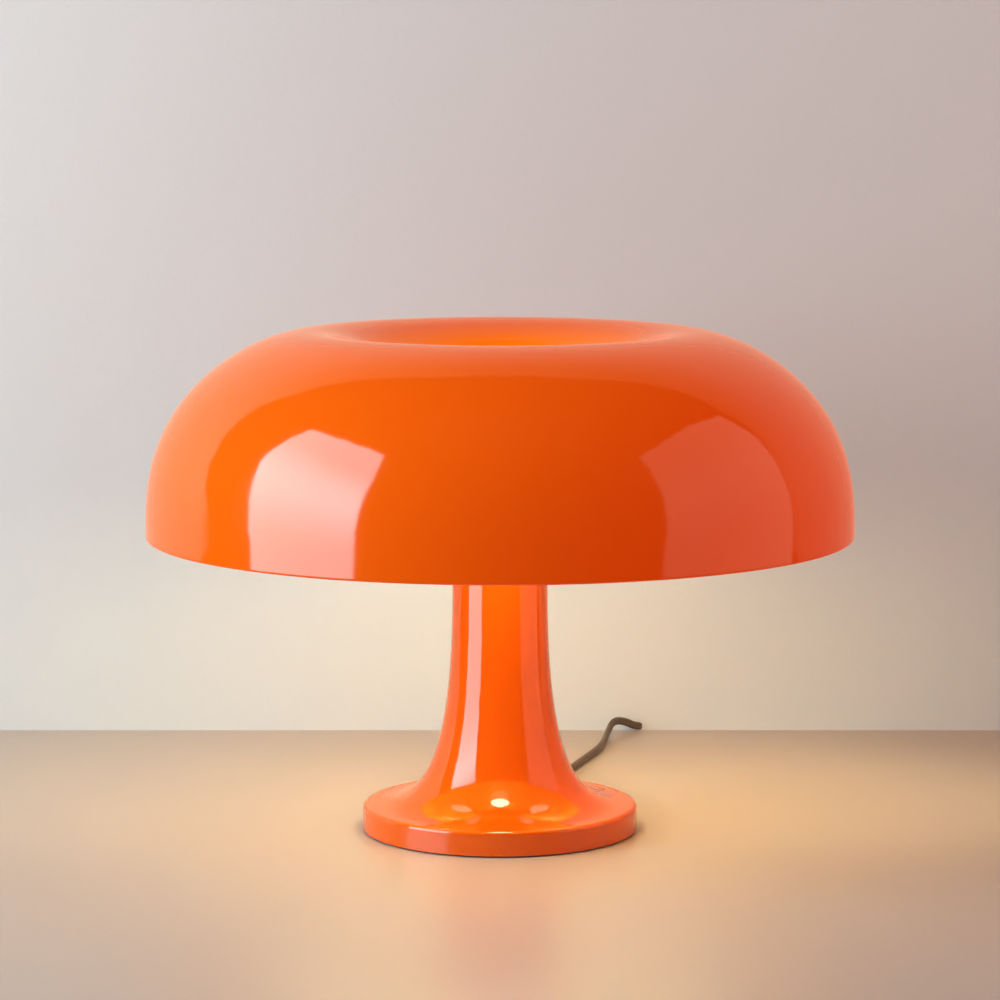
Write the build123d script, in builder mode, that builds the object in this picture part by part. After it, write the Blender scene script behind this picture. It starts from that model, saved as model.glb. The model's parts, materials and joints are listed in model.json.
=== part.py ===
from build123d import *
import os
from math import cos, pi, radians, sin, tan

# Mushroom table lamp: a glossy one-piece shade with a sunken funnel sits on a
# trumpet-shaped foot. Millimetres, +Z up, origin on the table under the stem's axis.
# The lamp is seen from -Y; angles are counted from +X, anticlockwise from above.

# ---- shade ----
LAMP_HEIGHT = 228.0  # crest of the shade above the table
SHADE_RADIUS = 160.0
SHADE_DEPTH = 92.0  # crest to rim
SHADE_WALL = 3.0
RIM_ROUND = 1.0
LIP_HEIGHT = 5.0  # upright band along the lower edge
SHOULDER_RISE = 40.3  # the curve leaves the upright band this far above the rim
SHOULDER_INSET = 9.4  # the shoulder's inward lean
SHOULDER_DROP = 25.3  # height of that lean below the crest
CREST_RADIUS = 86.0  # ring where the shade is highest
CREST_REACH = 28.0  # flat run outside the crest
FUNNEL_DEPTH = 37.0  # crest to the funnel's floor
FUNNEL_RADIUS = 37.0  # funnel at its floor
FUNNEL_REACH = 26.0  # flat run inside the crest
FUNNEL_SLOPE = 8.0  # funnel's lean just above its floor
FUNNEL_ROUND = 4.0  # hollow corner between funnel and floor
THROAT_RADIUS = 17.0  # round hole in the funnel's floor

# ---- trumpet foot ----
BASE_RADIUS = 62.7
BASE_EDGE_HEIGHT = 11.9  # top of the disc at its edge
BASE_EDGE_ROUND = 1.9
BASE_WALL = 2.6
BASE_LIFT = 0.8  # the moulding hangs this far off the table
STEM_TOP_RADIUS = 21.1
STEM_FOOT_HEIGHT = 100.0  # the flare starts here
STEM_FOOT_RADIUS = 21.8
FLARE_PULL_HEIGHT = 61.0  # pull points of the flare's curve
FLARE_KNEE_RADIUS = 27.1
FLARE_KNEE_HEIGHT = 18.3
FLARE_TOE_RADIUS = 40.4
FLARE_TOE_RISE = 0.3
RIB_COUNT = 6
RIB_THICKNESS = 1.8
RIB_INNER_RADIUS = 30.0
RIB_OUTER_RADIUS = 44.0

# ---- weight, cover and feet ----
FOOT_RING_HEIGHT = 1.0
FOOT_RING_WIDTH = 8.0
FOOT_RING_INSET = 1.5
COVER_THICKNESS = 1.2
COVER_CLEARANCE = 0.4
BALLAST_GAP = 0.2
BALLAST_THICKNESS = 6.0
BALLAST_CLEARANCE = 2.6
COVER_SCREWS = 3
COVER_SCREW_ANGLE = -10.0
COVER_SCREW_CIRCLE = 47.0
BOSS_RADIUS = 3.6
BOSS_CLEARANCE = 0.5
SCREW_RADIUS = 1.5
SCREW_HEAD_RADIUS = 2.8
SCREW_HEAD_HEIGHT = 1.0
SCREW_LENGTH = 8.0
SCREW_CLEARANCE = 0.1

# ---- push switch ----
SWITCH_ANGLE = 31.5
SWITCH_INSET = 13.2  # from the foot's side to the button's axis
BUTTON_RADIUS = 6.2
BUTTON_CLEARANCE = 0.45
BUTTON_TRAVEL = 1.6
BUTTON_STOP = 0.3  # gap left under the button when it is pressed home
BUTTON_ROUND = 0.4
PLUNGER_RADIUS = 3.4
PLUNGER_DEPTH = 1.6
SWITCH_LENGTH = 16.0
SWITCH_WIDTH = 15.0
SWITCH_HEIGHT = 4.4
SWITCH_EAR = 4.6
SWITCH_EAR_THICKNESS = 1.4
SWITCH_ROUND = 1.0
EAR_SCREW_RADIUS = 0.9
EAR_SCREW_LENGTH = 2.4
EAR_SCREW_HEAD_RADIUS = 1.7
EAR_SCREW_HEAD = 0.9

# ---- rod, carrier and lampholders ----
ROD_RADIUS = 5.0
ROD_BORE = 3.5
ROD_CLEARANCE = 0.3
NUT_WIDTH = 15.0
NUT_HEIGHT = 4.0
WASHER_RADIUS = 10.0
WASHER_THICKNESS = 1.2
CARRIER_SIZE = 32.0
CARRIER_HEIGHT = 34.5
CARRIER_WALL = 1.6
CARRIER_CORNER = 5.0
SEAT_RADIUS = 30.0
SEAT_THICKNESS = 2.0
SEAT_RING_HEIGHT = 1.5
SEAT_RING_WIDTH = 5.0
SEAT_RING_INSET = 3.0
SPIGOT_CLEARANCE = 0.6
SPIGOT_WALL = 1.6
CAP_RISE = 5.0
CAP_CLEARANCE = 0.4
CAP_GAP = 0.3
CAP_WALL = 1.2
CAP_SKIRT = 2.6
HOLDER_COUNT = 4
HOLDER_RISE = 16.5  # lampholders' axes above the stem's top
HOLDER_RADIUS = 12.0
HOLDER_COLLAR_RADIUS = 13.2
HOLDER_COLLAR_LENGTH = 7.0
HOLDER_LENGTH = 33.0
HOLDER_BORE_DEPTH = 24.0
HOLDER_STEP = 2.0
HOLDER_SHOULDER = 3.0
HOLDER_EDGE = 1.0
NIPPLE_RADIUS = 4.8
NIPPLE_REACH = 3.6
NIPPLE_BORE = 3.2
NIPPLE_NUT_RADIUS = 6.4
NIPPLE_NUT_THICKNESS = 2.0
BULB_CAP_RADIUS = 6.9
BULB_CAP_CLEARANCE = 0.4
BULB_CAP_LENGTH = 25.0
BULB_RADIUS = 22.5
BULB_NECK_RADIUS = 8.6
BULB_TIP_RADIUS = 3.5
BULB_TIP = 1.6
BULB_LENGTH = 74.0  # cap and glass together
BULB_WALL = 0.9

# ---- wiring in the foot ----
TERMINAL_LENGTH = 10.0
TERMINAL_WIDTH = 15.0
TERMINAL_HEIGHT = 6.0
TERMINAL_SCREW_RADIUS = 1.6
TERMINAL_SCREW_OFFSET = 4.0
TERMINAL_SCREW_DEPTH = 2.4
TERMINAL_SCREW_HEIGHT = 1.6
TERMINAL_SPACING = 21.5  # from the cord clamp to the terminal block
TERMINAL_ROUND = 1.0
CLAMP_INSET = 21.2  # from the foot's side to the cord clamp
CLAMP_SCREW_OFFSET = 7.0
CLAMP_SCREW_RADIUS = 1.3
CLAMP_SCREW_HEAD_RADIUS = 2.3
CLAMP_SCREW_HEAD = 1.0
CLAMP_SCREW_LENGTH = 4.0
CLAMP_LENGTH = 7.0
CLAMP_WIDTH = 19.0
CLAMP_THICKNESS = 1.6
CLAMP_TONGUE_WIDTH = 7.0
CLAMP_GAP = 0.1
LEAD_RADIUS = 1.8
LEAD_ENTRY = 4.5  # straight end of a lead at the terminal block and at the clamp
RISER_RADIUS = 14.2
RISER_ANGLE = 45.0
RISER_CLEARANCE = 0.5
RISER_LOOP = 5.0  # the riser's first upright run
RISER_REACH = 10.0  # its end above the stem's top
SPLICE_SIZE = 6.4
SPLICE_ROUND = 0.8
SPLICE_HEIGHT = 12.0
CORD_SLOT_MARGIN = 3.0  # from the terminal block to the slot in the weight

# ---- mains cord ----
CORD_WIDTH = 4.0
CORD_ANGLE = 74.0  # direction in which the cord leaves the foot
CORD_EXIT_HEIGHT = 5.8
CORD_SLOT_WIDTH = 9.0
RELIEF_LENGTH = 22.0
RELIEF_ROOT_RADIUS = 3.6
RELIEF_TIP_RADIUS = 2.5
RELIEF_NECK_RADIUS = 2.7
RELIEF_COLLAR = 2.7  # smooth length at each end
RELIEF_GROOVES = 5
RELIEF_GROOVE_WIDTH = 1.3
RELIEF_GROOVE_DEPTH = 0.5
RELIEF_FLANGE_RADIUS = 3.4
RELIEF_FLANGE = 1.6
RELIEF_CLEARANCE = 0.2
CORD_LEAD = 13.0  # straight run at each end of the free stretch
COIL_LAYERS = 4
COIL_TURNS = 2.625  # turns in a layer
COIL_MEAN_RADIUS = 23.0
COIL_PITCH = 4.5
COIL_CENTRE = (112.0, 270.0)
TIE_THICKNESS = 0.9
TIE_WIDTH = 9.0
TIE_CLEARANCE = 0.25
TIE_ROUND = 1.6
PLUG_LENGTH = 36.0
PLUG_WIDTH = 26.0
PLUG_HEIGHT = 13.6
PLUG_NECK_RADIUS = 4.6
PLUG_WAIST = 20.0  # the taper's slope changes this far from the neck
PLUG_WAIST_WIDTH = 21.0
TAIL_RUNS = (10.0, 24.0, 12.0)  # top of the coil, down its side, into the plug
PLUG_FLATS = 3.0
PIN_RADIUS = 2.0
PIN_LENGTH = 19.0
PIN_SPACING = 18.6
PIN_ROOT = 6.0

# ---- heights and radii that follow ----
CORD_RADIUS = CORD_WIDTH / 2
RIM_HEIGHT = LAMP_HEIGHT - SHADE_DEPTH
FUNNEL_FLOOR = LAMP_HEIGHT - FUNNEL_DEPTH
SEAT_HEIGHT = FUNNEL_FLOOR - SHADE_WALL
SEAT_TOP = SEAT_HEIGHT - SEAT_RING_HEIGHT
CARRIER_TOP = SEAT_TOP - SEAT_THICKNESS
STEM_TOP = CARRIER_TOP - CARRIER_HEIGHT
STEM_CEILING = STEM_TOP - BASE_WALL
HOLDER_HEIGHT = STEM_TOP + HOLDER_RISE
COVER_BOTTOM = FOOT_RING_HEIGHT
COVER_TOP = COVER_BOTTOM + COVER_THICKNESS
BALLAST_BOTTOM = COVER_TOP + BALLAST_GAP
BALLAST_TOP = BALLAST_BOTTOM + BALLAST_THICKNESS
BASE_INNER_RADIUS = BASE_RADIUS - BASE_WALL
SWITCH_CIRCLE = BASE_RADIUS - SWITCH_INSET
CLAMP_RADIUS = BASE_RADIUS - CLAMP_INSET
TERMINAL_RADIUS = CLAMP_RADIUS - TERMINAL_SPACING
TERMINAL_END = TERMINAL_RADIUS + TERMINAL_LENGTH / 2
CORD_SLOT_START = TERMINAL_END + CORD_SLOT_MARGIN
COVER_RADIUS = BASE_INNER_RADIUS - COVER_CLEARANCE
SWITCH_TOP = COVER_TOP + SWITCH_HEIGHT
ROD_HOLE = ROD_RADIUS + ROD_CLEARANCE

os.makedirs("parts", exist_ok=True)


def direction(angle):
    """The level unit vector at an angle from +X."""
    return Vector(cos(radians(angle)), sin(radians(angle)), 0)


def upright_plane(angle, height=0):
    """The plane through the stem's axis whose x runs outward at the angle and whose y is up."""
    return Plane((0, 0, height), x_dir=direction(angle), z_dir=direction(angle - 90))


def facing_plane(angle, distance, height):
    """A plane square to an outward ray, with its x level and its y up."""
    origin = direction(angle) * distance + Vector(0, 0, height)
    return Plane(origin, x_dir=direction(angle + 90), z_dir=direction(angle))


def level_plane(angle, distance, height):
    """A level plane whose x runs outward at the angle."""
    origin = direction(angle) * distance + Vector(0, 0, height)
    return Plane(origin, x_dir=direction(angle), z_dir=(0, 0, 1))


def inset(points, wall):
    """A curve's control points moved to their left-hand side by a wall."""
    points = [Vector(*point) for point in points]
    steps = [(b - a).normalized() for a, b in zip(points, points[1:])]
    sides = [Vector(-step.Y, step.X) for step in steps]
    moved = []
    for point, first, second in zip(points, [sides[0]] + sides, sides + [sides[-1]]):
        shifted = point + (first + second) * (wall / (1 + first.dot(second)))
        moved.append((shifted.X, shifted.Y))
    return moved


def biarc(start, start_way, end, end_way):
    """Where two smooth arcs from one place and direction to another meet, and how they run there."""
    span = end - start
    square = 2 * (1 - start_way.dot(end_way))
    middle = span.dot(start_way + end_way)
    reach = (-middle + (middle**2 + square * span.dot(span)) ** 0.5) / square
    near = start + start_way * reach
    far = end - end_way * reach
    return (near + far) * 0.5, (far - near).normalized()


def arc_radii(points):
    """The largest arc that each corner of a cord's route has room for."""
    runs = [b - a for a, b in zip(points, points[1:])]
    radii = []
    for before, after in zip(runs, runs[1:]):
        half_turn = radians(before.get_angle(after)) / 2
        radii.append(0.45 * min(before.length, after.length) / tan(half_turn))
    return radii


# ---- profiles that more than one piece follows: (radius, height) ----
dome_points = [
    (SHADE_RADIUS, RIM_HEIGHT + LIP_HEIGHT),
    (SHADE_RADIUS, RIM_HEIGHT + SHOULDER_RISE),
    (SHADE_RADIUS - SHOULDER_INSET, LAMP_HEIGHT - SHOULDER_DROP),
    (CREST_RADIUS + CREST_REACH, LAMP_HEIGHT),
    (CREST_RADIUS, LAMP_HEIGHT),
]
funnel_points = [
    (CREST_RADIUS, LAMP_HEIGHT),
    (CREST_RADIUS - FUNNEL_REACH, LAMP_HEIGHT),
    (FUNNEL_RADIUS + FUNNEL_SLOPE, LAMP_HEIGHT - FUNNEL_DEPTH / 2),
    (FUNNEL_RADIUS, FUNNEL_FLOOR),
]
stem_taper = (STEM_FOOT_RADIUS - STEM_TOP_RADIUS) / (STEM_TOP - STEM_FOOT_HEIGHT)
flare_points = [
    (BASE_RADIUS - BASE_EDGE_ROUND, BASE_EDGE_HEIGHT),
    (FLARE_TOE_RADIUS, BASE_EDGE_HEIGHT + FLARE_TOE_RISE),
    (FLARE_KNEE_RADIUS, FLARE_KNEE_HEIGHT),
    (STEM_FOOT_RADIUS + stem_taper * (STEM_FOOT_HEIGHT - FLARE_PULL_HEIGHT), FLARE_PULL_HEIGHT),
    (STEM_FOOT_RADIUS, STEM_FOOT_HEIGHT),
]


def solid_foot():
    """The trumpet's outer form, filled, as far as the stem's top."""
    with BuildPart() as form:
        with BuildSketch(Plane.XZ):
            with BuildLine():
                Line((0, BASE_LIFT), (BASE_RADIUS, BASE_LIFT))
                Line((BASE_RADIUS, BASE_LIFT), (BASE_RADIUS, BASE_EDGE_HEIGHT - BASE_EDGE_ROUND))
                TangentArc(
                    (BASE_RADIUS, BASE_EDGE_HEIGHT - BASE_EDGE_ROUND),
                    flare_points[0],
                    tangent=(0, 1),
                )
                Bezier(*flare_points)
                Line(flare_points[-1], (STEM_TOP_RADIUS, STEM_TOP))
                Line((STEM_TOP_RADIUS, STEM_TOP), (0, STEM_TOP))
                Line((0, STEM_TOP), (0, BASE_LIFT))
            make_face()
        revolve()
    return form.part


# ---- shade: dome, crest and funnel in one moulding ----
dome_inner = inset(dome_points, SHADE_WALL)
funnel_inner = inset(funnel_points, SHADE_WALL)
with BuildPart() as shade:
    with BuildSketch(Plane.XZ) as section:
        with BuildLine():
            Line((SHADE_RADIUS, RIM_HEIGHT), dome_points[0])
            Bezier(*dome_points)
            Bezier(*funnel_points)
            Line(funnel_points[-1], (THROAT_RADIUS, FUNNEL_FLOOR))
            Line((THROAT_RADIUS, FUNNEL_FLOOR), (THROAT_RADIUS, SEAT_HEIGHT))
            Line((THROAT_RADIUS, SEAT_HEIGHT), (funnel_inner[-1][0], SEAT_HEIGHT))
            Line((funnel_inner[-1][0], SEAT_HEIGHT), funnel_inner[-1])
            Bezier(*reversed(funnel_inner))
            Bezier(*reversed(dome_inner))
            Line(dome_inner[0], (SHADE_RADIUS - SHADE_WALL, RIM_HEIGHT))
            Line((SHADE_RADIUS - SHADE_WALL, RIM_HEIGHT), (SHADE_RADIUS, RIM_HEIGHT))
        make_face()
        fillet(section.vertices().group_by(Axis.Y)[0], RIM_ROUND)
        fillet(section.vertices().sort_by_distance(funnel_points[-1])[0], FUNNEL_ROUND)
    revolve()
shade.part.label = "shade"
export_step(shade.part, "parts/shade.step")

# ---- trumpet foot: thin moulding with ribs, screw bosses and switch bosses inside ----
flare_inner = inset(flare_points, BASE_WALL)
stem_inner = inset([(STEM_FOOT_RADIUS, STEM_FOOT_HEIGHT), (STEM_TOP_RADIUS, STEM_TOP)], BASE_WALL)
boss_angles = [COVER_SCREW_ANGLE + 360 / COVER_SCREWS * i for i in range(COVER_SCREWS)]
rib_angles = [COVER_SCREW_ANGLE + 360 / RIB_COUNT * i for i in range(RIB_COUNT)]
switch_plane = level_plane(SWITCH_ANGLE, SWITCH_CIRCLE, 0)
EAR_REACH = SWITCH_LENGTH / 2 + SWITCH_EAR / 2
riser_spot = direction(RISER_ANGLE) * RISER_RADIUS

with BuildPart() as base_shell:
    for angle in rib_angles:
        with BuildSketch(upright_plane(angle)):
            with Locations(((RIB_INNER_RADIUS + RIB_OUTER_RADIUS) / 2, BALLAST_TOP)):
                Rectangle(
                    RIB_OUTER_RADIUS - RIB_INNER_RADIUS,
                    FLARE_PULL_HEIGHT - BALLAST_TOP,
                    align=(Align.CENTER, Align.MIN),
                )
        extrude(amount=RIB_THICKNESS / 2, both=True)
    for angle in boss_angles:
        with BuildSketch(level_plane(angle, COVER_SCREW_CIRCLE, COVER_TOP)):
            Circle(BOSS_RADIUS)
            Circle(SCREW_RADIUS + SCREW_CLEARANCE, mode=Mode.SUBTRACT)
        extrude(amount=FLARE_KNEE_HEIGHT)
    with BuildSketch(switch_plane.offset(SWITCH_TOP)):
        with Locations((0, EAR_REACH), (0, -EAR_REACH)):
            Circle(SWITCH_EAR / 2)
            Circle(EAR_SCREW_RADIUS + SCREW_CLEARANCE, mode=Mode.SUBTRACT)
    extrude(amount=FLARE_KNEE_HEIGHT)
    add(solid_foot(), mode=Mode.INTERSECT)
    with BuildSketch(Plane.XZ):
        with BuildLine():
            Line((ROD_HOLE, STEM_TOP), (STEM_TOP_RADIUS, STEM_TOP))
            Line((STEM_TOP_RADIUS, STEM_TOP), flare_points[-1])
            Bezier(*reversed(flare_points))
            TangentArc(
                flare_points[0],
                (BASE_RADIUS, BASE_EDGE_HEIGHT - BASE_EDGE_ROUND),
                tangent=(1, 0),
            )
            Line((BASE_RADIUS, BASE_EDGE_HEIGHT - BASE_EDGE_ROUND), (BASE_RADIUS, BASE_LIFT))
            Line((BASE_RADIUS, BASE_LIFT), (BASE_INNER_RADIUS, BASE_LIFT))
            Line((BASE_INNER_RADIUS, BASE_LIFT), (BASE_INNER_RADIUS, flare_inner[0][1]))
            Line((BASE_INNER_RADIUS, flare_inner[0][1]), flare_inner[0])
            Bezier(*flare_inner)
            Line(flare_inner[-1], (stem_inner[-1][0], STEM_CEILING))
            Line((stem_inner[-1][0], STEM_CEILING), (ROD_HOLE, STEM_CEILING))
            Line((ROD_HOLE, STEM_CEILING), (ROD_HOLE, STEM_TOP))
        make_face()
    revolve()
    with BuildSketch(switch_plane.offset(SWITCH_TOP)):
        Circle(BUTTON_RADIUS + BUTTON_CLEARANCE)
    extrude(amount=FLARE_KNEE_HEIGHT, mode=Mode.SUBTRACT)
    with BuildSketch(facing_plane(CORD_ANGLE, BASE_INNER_RADIUS - BASE_WALL, CORD_EXIT_HEIGHT)):
        Circle(RELIEF_NECK_RADIUS + RELIEF_CLEARANCE)
    extrude(amount=BASE_WALL * 3, mode=Mode.SUBTRACT)
    with BuildSketch(Plane.XY.offset(STEM_CEILING)):
        with Locations(riser_spot):
            Circle(LEAD_RADIUS + RISER_CLEARANCE)
    extrude(amount=BASE_WALL, mode=Mode.SUBTRACT)
base_shell.part.label = "base_shell"
export_step(base_shell.part, "parts/base_shell.step")

# ---- steel weight in the foot, cut away round the bosses, the switch and the cord ----
with BuildPart() as ballast_plate:
    with BuildSketch(Plane.XY.offset(BALLAST_BOTTOM)):
        Circle(BASE_INNER_RADIUS - BALLAST_CLEARANCE)
        Circle(ROD_RADIUS + SCREW_CLEARANCE, mode=Mode.SUBTRACT)
    extrude(amount=BALLAST_THICKNESS)
    for angle in boss_angles:
        with BuildSketch(level_plane(angle, COVER_SCREW_CIRCLE, BALLAST_BOTTOM)):
            Circle(BOSS_RADIUS + BOSS_CLEARANCE)
        extrude(amount=BALLAST_THICKNESS, mode=Mode.SUBTRACT)
    with BuildSketch(switch_plane.offset(BALLAST_BOTTOM)):
        with Locations((BALLAST_CLEARANCE, 0)):
            Rectangle(
                SWITCH_WIDTH + 2 * BOSS_CLEARANCE + 2 * BALLAST_CLEARANCE,
                SWITCH_LENGTH + 2 * SWITCH_EAR + 2 * BOSS_CLEARANCE,
            )
    extrude(amount=BALLAST_THICKNESS, mode=Mode.SUBTRACT)
    with BuildSketch(level_plane(CORD_ANGLE, CORD_SLOT_START, BALLAST_BOTTOM)):
        Rectangle(BASE_RADIUS, CORD_SLOT_WIDTH, align=(Align.MIN, Align.CENTER))
    extrude(amount=BALLAST_THICKNESS, mode=Mode.SUBTRACT)
    with BuildSketch(level_plane(CORD_ANGLE, CLAMP_RADIUS, BALLAST_TOP)):
        with Locations((0, CLAMP_SCREW_OFFSET), (0, -CLAMP_SCREW_OFFSET)):
            Circle(CLAMP_SCREW_RADIUS + SCREW_CLEARANCE)
    extrude(amount=-CLAMP_SCREW_LENGTH, mode=Mode.SUBTRACT)
ballast_plate.part.label = "ballast_plate"
export_step(ballast_plate.part, "parts/ballast_plate.step")

# ---- bottom cover with its countersunk screws, and the soft ring that the lamp stands on ----
FLOOR_UP = (Align.CENTER, Align.CENTER, Align.MIN)
cover_screw_places = [
    level_plane(angle, COVER_SCREW_CIRCLE, COVER_BOTTOM).location for angle in boss_angles
]
with BuildPart() as bottom_cover:
    with BuildSketch(Plane.XY.offset(COVER_BOTTOM)):
        Circle(COVER_RADIUS)
    extrude(amount=COVER_THICKNESS)
    with Locations(cover_screw_places):
        Cone(
            SCREW_HEAD_RADIUS + SCREW_CLEARANCE,
            SCREW_RADIUS + SCREW_CLEARANCE,
            SCREW_HEAD_HEIGHT,
            align=FLOOR_UP,
            mode=Mode.SUBTRACT,
        )
        Cylinder(
            SCREW_RADIUS + SCREW_CLEARANCE, COVER_THICKNESS, align=FLOOR_UP, mode=Mode.SUBTRACT
        )
bottom_cover.part.label = "bottom_cover"
export_step(bottom_cover.part, "parts/bottom_cover.step")

with BuildPart() as cover_screws:
    with Locations(cover_screw_places):
        Cone(SCREW_HEAD_RADIUS, SCREW_RADIUS, SCREW_HEAD_HEIGHT, align=FLOOR_UP)
        Cylinder(SCREW_RADIUS, SCREW_LENGTH, align=FLOOR_UP)
cover_screws.part.label = "cover_screws"
export_step(cover_screws.part, "parts/cover_screws.step")

with BuildPart() as foot_ring:
    with BuildSketch():
        Circle(COVER_RADIUS - FOOT_RING_INSET)
        Circle(COVER_RADIUS - FOOT_RING_INSET - FOOT_RING_WIDTH, mode=Mode.SUBTRACT)
    extrude(amount=FOOT_RING_HEIGHT)
foot_ring.part.label = "foot_ring"
export_step(foot_ring.part, "parts/foot_ring.step")

# ---- push switch: body with ears under the disc, and a button flush with the disc ----
with BuildPart() as switch_body:
    with BuildSketch(switch_plane.offset(COVER_TOP)):
        RectangleRounded(SWITCH_WIDTH, SWITCH_LENGTH, SWITCH_ROUND)
    extrude(amount=SWITCH_HEIGHT)
    with BuildSketch(switch_plane.offset(SWITCH_TOP)):
        SlotOverall(SWITCH_LENGTH + 2 * SWITCH_EAR, SWITCH_EAR, rotation=90)
    extrude(amount=-SWITCH_EAR_THICKNESS)
    with BuildSketch(switch_plane.offset(SWITCH_TOP)):
        with Locations((0, EAR_REACH), (0, -EAR_REACH)):
            Circle(EAR_SCREW_RADIUS + SCREW_CLEARANCE)
        Circle(PLUNGER_RADIUS + BUTTON_CLEARANCE)
    extrude(amount=-PLUNGER_DEPTH - BUTTON_TRAVEL, mode=Mode.SUBTRACT)
switch_body.part.label = "switch_body"
export_step(switch_body.part, "parts/switch_body.step")

with BuildPart() as switch_screws:
    ear_underside = switch_plane.offset(SWITCH_TOP - SWITCH_EAR_THICKNESS)
    with BuildSketch(ear_underside):
        with Locations((0, EAR_REACH), (0, -EAR_REACH)):
            Circle(EAR_SCREW_HEAD_RADIUS)
    extrude(amount=-EAR_SCREW_HEAD)
    with BuildSketch(ear_underside):
        with Locations((0, EAR_REACH), (0, -EAR_REACH)):
            Circle(EAR_SCREW_RADIUS)
    extrude(amount=SWITCH_EAR_THICKNESS + EAR_SCREW_LENGTH)
switch_screws.part.label = "switch_screws"
export_step(switch_screws.part, "parts/switch_screws.step")

with BuildPart() as switch_button:
    with BuildSketch(switch_plane.offset(SWITCH_TOP + BUTTON_TRAVEL + BUTTON_STOP)):
        Circle(BUTTON_RADIUS)
    extrude(amount=FLARE_KNEE_HEIGHT)
    add(solid_foot(), mode=Mode.INTERSECT)
    fillet(switch_button.edges().group_by(Axis.Z)[-1], BUTTON_ROUND)
    with BuildSketch(switch_plane.offset(SWITCH_TOP - PLUNGER_DEPTH + BUTTON_STOP)):
        Circle(PLUNGER_RADIUS)
    extrude(amount=PLUNGER_DEPTH + BUTTON_TRAVEL + BUTTON_STOP)
switch_button.part.label = "switch_button"
export_step(switch_button.part, "parts/switch_button.step")

# ---- threaded rod that clamps weight, foot, carrier and seat together ----
UPPER_NUT = SEAT_TOP + WASHER_THICKNESS
ROD_TOP = UPPER_NUT + NUT_HEIGHT + ROD_CLEARANCE
with BuildPart() as threaded_rod:
    with BuildSketch(Plane.XY.offset(BALLAST_BOTTOM)):
        Circle(ROD_RADIUS)
        Circle(ROD_BORE, mode=Mode.SUBTRACT)
    extrude(amount=ROD_TOP - BALLAST_BOTTOM)
threaded_rod.part.label = "threaded_rod"
export_step(threaded_rod.part, "parts/threaded_rod.step")

for name, height in (("lower_nut", BALLAST_TOP), ("upper_nut", UPPER_NUT)):
    with BuildPart() as nut:
        with BuildSketch(Plane.XY.offset(height)):
            RegularPolygon(NUT_WIDTH / 2, 6, major_radius=False)
            Circle(ROD_RADIUS + SCREW_CLEARANCE, mode=Mode.SUBTRACT)
        extrude(amount=NUT_HEIGHT)
        chamfer(nut.faces().sort_by(Axis.Z)[-1].outer_wire().edges(), NUT_HEIGHT / 10)
    nut.part.label = name
    export_step(nut.part, f"parts/{name}.step")

with BuildPart() as upper_washer:
    with BuildSketch(Plane.XY.offset(SEAT_TOP)):
        Circle(WASHER_RADIUS)
        Circle(ROD_RADIUS + SCREW_CLEARANCE, mode=Mode.SUBTRACT)
    extrude(amount=WASHER_THICKNESS)
upper_washer.part.label = "upper_washer"
export_step(upper_washer.part, "parts/upper_washer.step")

# ---- square steel carrier on the stem, with a hole in each side for a lampholder ----
holder_angles = [360 / HOLDER_COUNT * i - 90 for i in range(HOLDER_COUNT)]
with BuildPart() as lamp_carrier:
    with BuildSketch(Plane.XY.offset(STEM_TOP)):
        RectangleRounded(CARRIER_SIZE, CARRIER_SIZE, CARRIER_CORNER)
    extrude(amount=CARRIER_HEIGHT)
    with BuildSketch(Plane.XY.offset(STEM_TOP + CARRIER_WALL)):
        RectangleRounded(
            CARRIER_SIZE - 2 * CARRIER_WALL,
            CARRIER_SIZE - 2 * CARRIER_WALL,
            CARRIER_CORNER - CARRIER_WALL,
        )
    extrude(amount=CARRIER_HEIGHT, mode=Mode.SUBTRACT)
    with BuildSketch(Plane.XY.offset(STEM_TOP)):
        Circle(ROD_HOLE)
        with Locations(riser_spot):
            Circle(LEAD_RADIUS + RISER_CLEARANCE)
    extrude(amount=CARRIER_WALL, mode=Mode.SUBTRACT)
    for angle in holder_angles:
        with BuildSketch(facing_plane(angle, 0, HOLDER_HEIGHT)):
            Circle(NIPPLE_RADIUS + SCREW_CLEARANCE)
        extrude(amount=CARRIER_SIZE, mode=Mode.SUBTRACT)
lamp_carrier.part.label = "lamp_carrier"
export_step(lamp_carrier.part, "parts/lamp_carrier.step")

# ---- seat of the shade: plate with a spigot, a soft ring, and the cap that closes it ----
SPIGOT_RADIUS = THROAT_RADIUS - SPIGOT_CLEARANCE
SPIGOT_HEIGHT = SEAT_RING_HEIGHT + SHADE_WALL
with BuildPart() as shade_seat:
    with BuildSketch(Plane.XY.offset(CARRIER_TOP)):
        Circle(SEAT_RADIUS)
        Circle(ROD_HOLE, mode=Mode.SUBTRACT)
    extrude(amount=SEAT_THICKNESS)
    with BuildSketch(Plane.XY.offset(SEAT_TOP)):
        Circle(SPIGOT_RADIUS)
        Circle(SPIGOT_RADIUS - SPIGOT_WALL, mode=Mode.SUBTRACT)
    extrude(amount=SPIGOT_HEIGHT)
    chamfer(shade_seat.edges().group_by(Axis.Z)[-1].sort_by(SortBy.LENGTH)[-1], SPIGOT_WALL / 3)
shade_seat.part.label = "shade_seat"
export_step(shade_seat.part, "parts/shade_seat.step")

with BuildPart() as seat_ring:
    with BuildSketch(Plane.XY.offset(SEAT_TOP)):
        Circle(SEAT_RADIUS - SEAT_RING_INSET)
        Circle(SEAT_RADIUS - SEAT_RING_INSET - SEAT_RING_WIDTH, mode=Mode.SUBTRACT)
    extrude(amount=SEAT_RING_HEIGHT)
seat_ring.part.label = "seat_ring"
export_step(seat_ring.part, "parts/seat_ring.step")

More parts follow.
